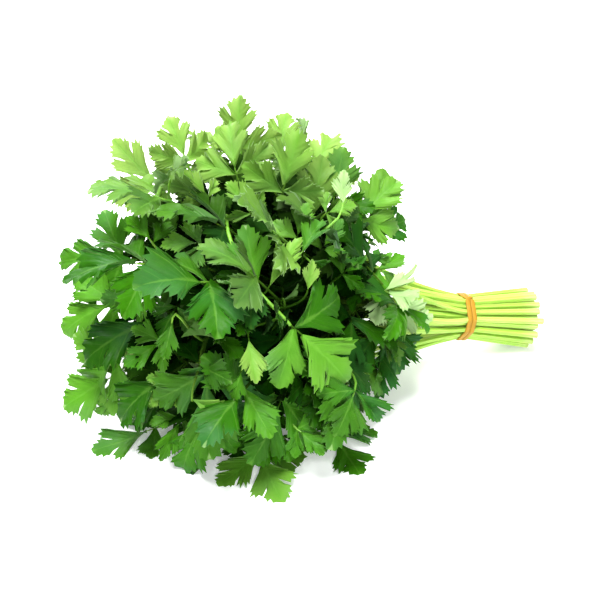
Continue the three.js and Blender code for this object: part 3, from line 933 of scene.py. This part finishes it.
def leaf_blank(number):
    """A flat leaflet with its thickness, from a grid whose rows lean forward from the rib to the teeth."""
    draw = make_draw(BLANK_SEEDS[0] + BLANK_SEEDS[1] * number)
    sinus = draw(*SINUS_STRAY)
    breadth = draw(*BREADTH)
    rows = len(OUTLINE)
    bm = bmesh.new()
    bmesh.ops.create_grid(bm, x_segments=rows - 1, y_segments=COLUMNS, size=1)
    bmesh.ops.solidify(bm, geom=list(bm.faces), thickness=0.1)
    vein_mark, rib_mark, wave_mark = layers_of(bm, "vein", "rib", "wave")
    stray = {}
    for row in range(1, rows - 1):
        for hand in (-1, 1):
            stray[row, hand] = tuple(draw(-1, 1) * most for most in RIM_STRAY)
    for vert in bm.verts:
        row = round((vert.co.x + 1) / 2 * (rows - 1))
        reach = vert.co.y
        hand = 1 if reach > 0 else -1
        along, out, root, is_notch = OUTLINE[row]
        along_stray, out_stray = stray.get((row, hand), (0, 0))
        if row == SINUS_ROW:
            along_stray += sinus
        rim = Vector((along + along_stray, (out + out_stray) * breadth * hand, 0))
        if row == rows - 1:
            rim = Vector((1, 0, 0))
        share = min(1, abs(reach))
        under = -1 if vert.co.z < -0.05 else 0
        vert.co = Vector((root, 0, 0)).lerp(rim, share)
        vert.co.z = under
        vert[vein_mark] = is_notch
        vert[rib_mark] = share
        vert[wave_mark] = row / (rows - 1)
    bmesh.ops.remove_doubles(bm, verts=bm.verts, dist=1e-4)
    for face in bm.faces:
        face.smooth = True
        face.material_index = 1 if min(v.co.z for v in face.verts) < -0.5 else 0
    return mesh_from(bm, f"leaf_blank_{number}")


blanks = [leaf_blank(number) for number in range(BLANKS)]

MARKS = ("vein", "rib", "wave", "tone", "sun", "shade", "way", "ridge", "pith")  # on the vertices of a sprig


RIPPLES = (7, 13)  # radians along half of the rim
RIPPLE_HEIGHT = (0.035, 0.085)  # as shares of the length, as the next two are
QUILT_HEIGHT = 0.007
RIM_DROOP = (0.0, 0.08)


def add_blade(bm, leaf, draw, tone, sun, shade, turned_over):
    """One leaflet, bent from a blank: curled, folded, waved along its rim and lifted between its veins."""
    started, faces_before = len(bm.verts), len(bm.faces)
    bm.from_mesh(blanks[int(draw(0, BLANKS))])
    bm.verts.ensure_lookup_table()
    bm.faces.ensure_lookup_table()
    verts = bm.verts[started:]
    if turned_over:
        for face in bm.faces[faces_before:]:
            face.material_index = 1 - face.material_index
    vein_mark, rib_mark, wave_mark, tone_mark, sun_mark, shade_mark = layers_of(bm, *MARKS[:6])
    along, out, sheet = np.array([v.co for v in verts]).T
    notch, share, wave = (np.array([v[mark] for v in verts]) for mark in (vein_mark, rib_mark, wave_mark))
    places, face = blade_points(leaf, along, out)
    twist = draw(-1, 1) * leaf.twist * along
    rib_place, rib_face = blade_points(leaf, along, out * 0)
    off = places - rib_place
    places = rib_place + off * np.cos(twist)[:, None] + rib_face * (np.sin(twist) * out * leaf.length)[:, None]
    phase_left, phase_right = draw(0, 6.28), draw(0, 6.28)
    phase = np.where(out > 0, phase_left, phase_right)
    ripple = np.sin(wave * draw(*RIPPLES) + phase) * share**1.5 * draw(*RIPPLE_HEIGHT)
    quilt = (notch - 0.5) * np.sin(math.pi * share) * QUILT_HEIGHT
    droop = -(share**3) * draw(*RIM_DROOP) * (1 - notch)
    places = places + face * ((ripple + quilt + droop) * leaf.length)[:, None]
    places[:, 2] = np.maximum(places[:, 2], FINE_BLADE + FLOOR_GAP)
    places = places + face * (sheet * FINE_BLADE)[:, None]
    for vert, place in zip(verts, places):
        vert.co = in_frame(place)
        vert[tone_mark] = tone
        vert[sun_mark] = sun
        vert[shade_mark] = shade


def draw_out(bm, ring, edges):
    """Extrudes a ring once. It gives the new ring in the same order, with its edges and the faces between."""
    made = bmesh.ops.extrude_edge_only(bm, edges=edges)["geom"]
    fresh = {g for g in made if isinstance(g, bmesh.types.BMVert)}
    partner = {}
    for vert in ring:
        for edge in vert.link_edges:
            if edge.other_vert(vert) in fresh:
                partner[vert] = edge.other_vert(vert)
    far_edges = [g for g in made if isinstance(g, bmesh.types.BMEdge) and all(v in fresh for v in g.verts)]
    return [partner[v] for v in ring], far_edges, [g for g in made if isinstance(g, bmesh.types.BMFace)]


STALK_MATERIAL, CUT_MATERIAL = 2, 3
SHADED_FROM = 0.3  # of the way from the cut end, because the bundle lies in the light
PITH_INSET, PITH_STEP = 0.0005, -0.0002  # in metres
OFF_FLOOR = 0.02


def add_tube(bm, stations, sides, tone, ridged=0.0, cut=False, shaded=True):
    """A rod whose end face is drawn out along its stations, which are (place, heading, radius, way)."""
    tone_mark, shade_mark = layers_of(bm, "tone", "shade")
    way_mark, ridge_mark, pith_mark = layers_of(bm, "way", "ridge", "pith")
    faces_before = len(bm.faces)
    across = squared_to(BUNDLE_SIDE if abs(stations[0][1][1]) < 0.9 else UP, stations[0][1])

    def set_ring(verts, station):
        nonlocal across
        place, heading, radius, way = station
        across = squared_to(across, heading)
        other = cross(heading, across)
        for n, vert in enumerate(verts):
            angle = 2 * math.pi * n / sides
            sunk = ridged if n % 2 else 0
            out = across * math.cos(angle) + other * math.sin(angle)
            spot = place + out * radius * (1 - sunk)
            vert.co = in_frame((spot[0], spot[1], max(spot[2], OFF_FLOOR)))
            vert[way_mark] = way
            vert[tone_mark] = tone
            vert[ridge_mark] = 0 if n % 2 else 1
            # Painted shade from the depth in the crown.
            vert[shade_mark] = depth_of(place) if shaded and way > SHADED_FROM else 0
            vert[pith_mark] = 0

    first = bmesh.ops.create_circle(bm, segments=sides, radius=1, cap_ends=True)["verts"][0].link_faces[0]
    first.material_index = STALK_MATERIAL
    ring = [loop.vert for loop in first.loops]
    edges = list(first.edges)
    set_ring(ring, stations[0])
    for station in stations[1:]:
        ring, edges, faces = draw_out(bm, ring, edges)
        set_ring(ring, station)
        for face in faces:
            face.material_index = STALK_MATERIAL
            face.smooth = True
    bm.faces.new(ring).material_index = STALK_MATERIAL
    bm.normal_update()
    if cut:
        rim = bmesh.ops.inset_individual(bm, faces=[first], thickness=PITH_INSET, depth=PITH_STEP)["faces"]
        for face in (*rim, first):
            face.material_index = CUT_MATERIAL
        for vert in first.verts:
            vert[pith_mark] = 1
    bm.faces.ensure_lookup_table()
    bmesh.ops.recalc_face_normals(bm, faces=bm.faces[faces_before:])


SUNNY_UP, SUNNY_BACK = (92, 152), (-10, 80)  # between which heights the painted light comes in, and from front to back
SUNNY_NECK = {"x": -60, "z": 45, "radius": 36, "sun": 0.7}


def sun_on(place):
    """How much painted light a leaflet gets, which is most high up in the crown and near the band."""
    x, y, z = place
    from_neck = math.hypot(x - SUNNY_NECK["x"], z - SUNNY_NECK["z"]) / SUNNY_NECK["radius"]
    up = ramp(z, *SUNNY_UP) * (0.3 + 0.7 * ramp(y, *SUNNY_BACK))
    return max(up, max(0, 1 - from_neck) * SUNNY_NECK["sun"])


SKIN_REACH = {"along": 112, "front": 116, "back": 130, "over": 96, "under": 64}
SKIN_DEPTH = 0.26  # as a share of the reach, over which the painted shade goes from none to full


def depth_of(place):
    """How deep in the crown a place is: none at its skin, and one in its middle. It sets how much painted
    shade a leaflet or stalk gets.
    """
    over = place - vec(*CROWN_MIDDLE)
    front_back = SKIN_REACH["front" if over[1] < 0 else "back"]
    reach = vec(SKIN_REACH["along"], front_back, SKIN_REACH["under" if over[2] < 0 else "over"])
    return clamped((1.0 - length_of(over / reach)) / SKIN_DEPTH)


DRESS_SEEDS = (50021, 131)  # the first, and the step to the next
SHARP_FROM = 55 * DEGREE
SHARED_TWIST = 12 * DEGREE  # at the tip of a leaflet that the part's source has too
OWN_TWIST = 50 * DEGREE
OWN_FOLD = 40 * DEGREE
SPRAY_TONE_POWER = 1.25  # more sprays are deep green than fresh
# Painted light: added to a spray's share at the sunny places, and drawn for leaflets elsewhere.
SPRAY_SUN = (-0.3, 0.2)
SHADY_SUN = (-0.6, 0.22)
TONE_OF_SUN = (0.12, 4)  # the tone with no painted light, and for each share of it


def add_leaflets(bm, draw, spray):
    own_tone = draw(0, 1) ** SPRAY_TONE_POWER
    own_sun = draw(*SPRAY_SUN)
    given = getattr(spray.node, "sun", None)
    for leaf in spray.leaflets:
        middle = leaf.base + leaf.heading * leaf.length * 0.5
        tone = own_tone + draw(-0.2, 0.2)
        sun = given[round(leaf.lean / SIDE_LEAN)] if isinstance(given, dict) else given
        turned_over = sun == TURNED_OVER
        # Where the painted light is given, the green follows it too.
        if sun is not None:
            tone = TONE_OF_SUN[0] + TONE_OF_SUN[1] * sun + draw(-0.1, 0.1)
        else:
            sun = sun_on(middle)
            sun = sun + own_sun if sun > 0.05 else draw(*SHADY_SUN)
        sun = clamped(sun + draw(-0.08, 0.08))
        leaf.twist = SHARED_TWIST
        if spray.node.part >= FILL_PARTS:
            leaf.twist = OWN_TWIST
            leaf.fold += draw(0, 1) ** 2 * OWN_FOLD
        # Painted shade from the depth in the crown, none for sprays whose painted light is given.
        shade = depth_of(middle) if given is None else 0
        add_blade(bm, leaf, draw, clamped(tone), sun, shade, turned_over)


BELOW_BAND = (0, 0.06, 0.35, 0.7)  # where a stalk's stations are, from the cut end to the band
ABOVE_BAND = 24  # steps from the band to the tip
WAY_AT_BAND = 0.2
STALK_SIDES, STALK_RIDGES = 10, 0.12


def add_stalk(bm, sprig, tone):
    to_band = sprig.bars[0] - sprig.cut
    foot = unit(to_band)
    ragged = length_of(to_band) - CUT_LENGTH
    cut = sprig.cut + foot * ragged * (1 - RAGGED_SHARE)
    at_cut, at_band, at_tip = (STALK_RADIUS[name] for name in ("cut", "band", "tip"))
    stations = []
    for s in BELOW_BAND:
        radius = at_cut + (at_band - at_cut) * s
        stations.append((cut * (1 - s) + sprig.bars[0] * s, foot, radius, WAY_AT_BAND * s))
    for n in range(ABOVE_BAND + 1):
        t = n / ABOVE_BAND
        heading = bezier_heading(sprig.bars, t)
        if n == 0:
            heading = unit(foot + heading)
        radius = at_band + (at_tip - at_band) * t
        stations.append((bezier(sprig.bars, t), heading, radius, WAY_AT_BAND + (1 - WAY_AT_BAND) * t))
    add_tube(bm, stations, STALK_SIDES, tone, STALK_RIDGES, cut=True)


def along_arc(arc, steps, start, end, way, way_end):
    """Stations along an arc, between two radii."""
    stations = []
    for n in range(steps + 1):
        t = n / steps
        radius = start + (end - start) * t
        stations.append((bezier(arc, t), bezier_heading(arc, t), radius, way + (way_end - way) * t))
    return stations


PETIOLE_SIDES, PETIOLE_STEPS, PETIOLE_BEND = 6, 6, 0.35
PETIOLE_END = 0.4  # its radius where it goes into the middle leaflet
PETIOLE_PAST_HUB = 1.5  # how far it goes where there is no middle leaflet


def add_petiole(bm, spray, tone):
    node = spray.node
    middle = next((leaf for leaf in spray.leaflets if leaf.lean == 0), None)
    past_hub = MIDDLE_AHEAD * middle.length if middle else PETIOLE_PAST_HUB
    start = PETIOLE_RADIUS["foot"] if node.part > TIP_PART else STALK_RADIUS["tip"]
    if node.part >= FILL_PARTS:
        bend = length_of(node.place - node.foot) * PETIOLE_BEND
        arc = [node.foot, node.foot + node.leaves_stalk * bend, node.place - node.heading * bend, node.place]
        petiole = along_arc(arc, PETIOLE_STEPS, start, PETIOLE_RADIUS["hub"], 0.85, 1)
    else:
        petiole = [(node.foot, node.heading, start, 0.9), (node.place, node.heading, PETIOLE_RADIUS["hub"], 1)]
    petiole.append((node.place + node.heading * past_hub, node.heading, PETIOLE_END, 1))
    add_tube(bm, petiole, PETIOLE_SIDES, tone)


IN_VIEW_RADIUS = {"foot": 1.3, "hub": 1.05}
IN_VIEW_SIDES, IN_VIEW_STEPS = 8, 10
IN_VIEW_WAY, IN_VIEW_TONE = 0.85, 0.1


def add_petioles_in_view(bm):
    for points in PETIOLES_IN_VIEW:
        arc = [vec(*point) for point in points]
        foot, hub = IN_VIEW_RADIUS["foot"], IN_VIEW_RADIUS["hub"]
        stations = along_arc(arc, IN_VIEW_STEPS, foot, hub, IN_VIEW_WAY, IN_VIEW_WAY)
        add_tube(bm, stations, IN_VIEW_SIDES, IN_VIEW_TONE, shaded=False)


def dress_sprig(sprig):
    draw = make_draw(DRESS_SEEDS[0] + DRESS_SEEDS[1] * sprig.index)
    bm = bmesh.new()
    layers_of(bm, *MARKS)
    for spray in sprig.sprays:
        add_leaflets(bm, draw, spray)
    stalk_tone = draw(0, 1)
    add_stalk(bm, sprig, stalk_tone)
    for spray in sprig.sprays:
        add_petiole(bm, spray, stalk_tone)
    if sprig.index + 1 == PETIOLES_IN_VIEW_ON:
        add_petioles_in_view(bm)
    put_in_order(bm)
    name = f"parsley_sprig_{sprig.index + 1:02d}"
    mesh = mesh_from(bm, name, leaf_upper, leaf_under, stalk_skin, cut_face)
    mesh.set_sharp_from_angle(angle=SHARP_FROM)
    piece = object_from(mesh)
    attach(piece, "root")
    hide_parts(f"sprig_{sprig.index + 1:02d}")


for sprig in sprigs:
    dress_sprig(sprig)

# --- The rubber band ---

STRAND_HALF = {"wide": 1.75, "thick": 0.7}
STRAND_PITCH = 3.6
STRAND_SIDES, STRAND_ROUNDNESS = 10, 0.6
STEPS_ROUND = 72
CROSSING = {"at": 1.95, "half": 0.42, "lift": 1.5}  # where the strand crosses over itself, in radians and up


def stalk_feet():
    """Where the stalks are in the band's plane, as sideways and up."""
    for index in range(SPRIGS):
        ring, angle = STALK_PITCH * math.sqrt(index + 0.5), index * GOLDEN_ANGLE
        yield ring * math.cos(angle), ring * math.sin(angle)


def band_line(turn):
    """A place on the outline of the stalks in the band's plane, and the way out there."""
    out = (math.cos(turn), math.sin(turn))
    foot = max(stalk_feet(), key=lambda f: f[0] * out[0] + f[1] * out[1])
    return foot[0] + out[0] * STALK_RADIUS["band"], foot[1] + out[1] * STALK_RADIUS["band"], out


def flattened(share):
    """A sine or cosine that makes a rounded rectangle instead of a circle."""
    return math.copysign(abs(share) ** STRAND_ROUNDNESS, share)


def make_band():
    bm = bmesh.new()
    rings = [bmesh.ops.create_circle(bm, segments=STRAND_SIDES, radius=1)["verts"]]
    edges = list(bm.edges)
    for _ in range(2 * STEPS_ROUND - 1):
        ring, edges = draw_out(bm, rings[-1], edges)[:2]
        rings.append(ring)
    bmesh.ops.bridge_loops(bm, edges=[e for e in bm.edges if len(e.link_faces) == 1])
    for n, ring in enumerate(rings):
        angle = 2 * math.pi * n / STEPS_ROUND
        side, top, out = band_line(angle + CROSSING["at"])
        turn_share = (angle % (2 * math.pi)) / (2 * math.pi)
        first_turn = n < STEPS_ROUND
        from_end = 2 * math.pi * (1 - turn_share)
        share = clamped(1 - from_end / (2 * CROSSING["half"]))
        share = share * share * (3 - 2 * share)
        start, end = (-0.5, 0.5) if first_turn else (0.5, -0.5)
        along = (start + (end - start) * share) * STRAND_PITCH
        lift = 0 if first_turn else math.sin(math.pi * share) * CROSSING["lift"]
        for k, vert in enumerate(ring):
            a = 2 * math.pi * k / len(ring)
            wide = flattened(math.cos(a)) * STRAND_HALF["wide"]
            thick = flattened(math.sin(a)) * STRAND_HALF["thick"]
            off = STRAND_HALF["thick"] + thick + lift
            vert.co = in_frame(bundle_point(along + wide, side + out[0] * off, top + out[1] * off))
    bmesh.ops.recalc_face_normals(bm, faces=bm.faces)
    for face in bm.faces:
        face.smooth = True
    put_in_order(bm)
    piece = object_from(mesh_from(bm, "rubber_band_doubled", band_rubber))
    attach(piece, "root")
    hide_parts("rubber_band")


make_band()

# --- Floor, lights and camera ---


def make_floor():
    finish = Finish("floor_paper")
    cloud = finish.noise(1.5)
    colour = finish.blend(cloud, (0.93, 0.95, 0.935), (0.95, 0.96, 0.95))
    finish.give("Base Color", colour)
    finish.give("Roughness", 0.9)
    finish.give("Specular IOR Level", 0.1)
    # Painted light: the floor glows a little, so that shadows on it stay pale.
    finish.give("Emission Color", (0.97, 1, 0.98, 1))
    finish.give("Emission Strength", 0.2)
    bm = bmesh.new()
    bmesh.ops.create_grid(bm, x_segments=1, y_segments=1, size=6)
    floor = object_from(mesh_from(bm, "floor", finish.material))


make_floor()


def softbox(name, place, aim, size, power):
    data = bpy.data.lights.new(name, "AREA")
    data.shape = "DISK"
    data.size = size
    data.energy = power
    lamp = bpy.data.objects.new(name, data)
    lamp.location = place
    lamp.rotation_euler = (Vector(aim) - Vector(place)).to_track_quat("-Z", "Y").to_euler()
    bpy.context.scene.collection.objects.link(lamp)


softbox("key", (-0.25, -0.3, 2.0), (-0.05, 0, 0.05), 0.9, 88)
softbox("back", (-0.3, 1.4, 1.3), (0, 0, 0.1), 0.9, 50)
softbox("front", (0.1, -1.8, 1.1), (0, 0, 0.05), 1.6, 24)

world = bpy.data.worlds.new("studio")
world.use_nodes = True
world.node_tree.nodes["Background"].inputs["Color"].default_value = (0.97, 0.99, 1.0, 1)
world.node_tree.nodes["Background"].inputs["Strength"].default_value = 0.4
bpy.context.scene.world = world
bpy.context.scene.view_settings.view_transform = "Standard"

CAMERA = {"azimuth": -15 * DEGREE, "elevation": 37 * DEGREE, "lens": 80, "sensor": 36, "away": 0.953}
FRAME_PX, BAND_PX = 600, (462, 316)


def make_camera():
    a, e = CAMERA["azimuth"], CAMERA["elevation"]
    back = Vector((math.sin(a) * math.cos(e), -math.cos(a) * math.cos(e), math.sin(e)))
    right = Vector((math.cos(a), math.sin(a), 0))
    up = back.cross(right)
    px = CAMERA["away"] / (FRAME_PX * CAMERA["lens"] / CAMERA["sensor"])
    data = bpy.data.cameras.new("camera")
    data.lens, data.sensor_width = CAMERA["lens"], CAMERA["sensor"]
    camera = bpy.data.objects.new("camera", data)
    place = (band_low + band_high) / 2 + back * CAMERA["away"]
    place -= right * (BAND_PX[0] - FRAME_PX / 2) * px
    place -= up * (FRAME_PX / 2 - BAND_PX[1]) * px
    camera.matrix_world = Matrix.Translation(place) @ Matrix((right, up, back)).transposed().to_4x4()
    bpy.context.scene.collection.objects.link(camera)
    bpy.context.scene.camera = camera


make_camera()
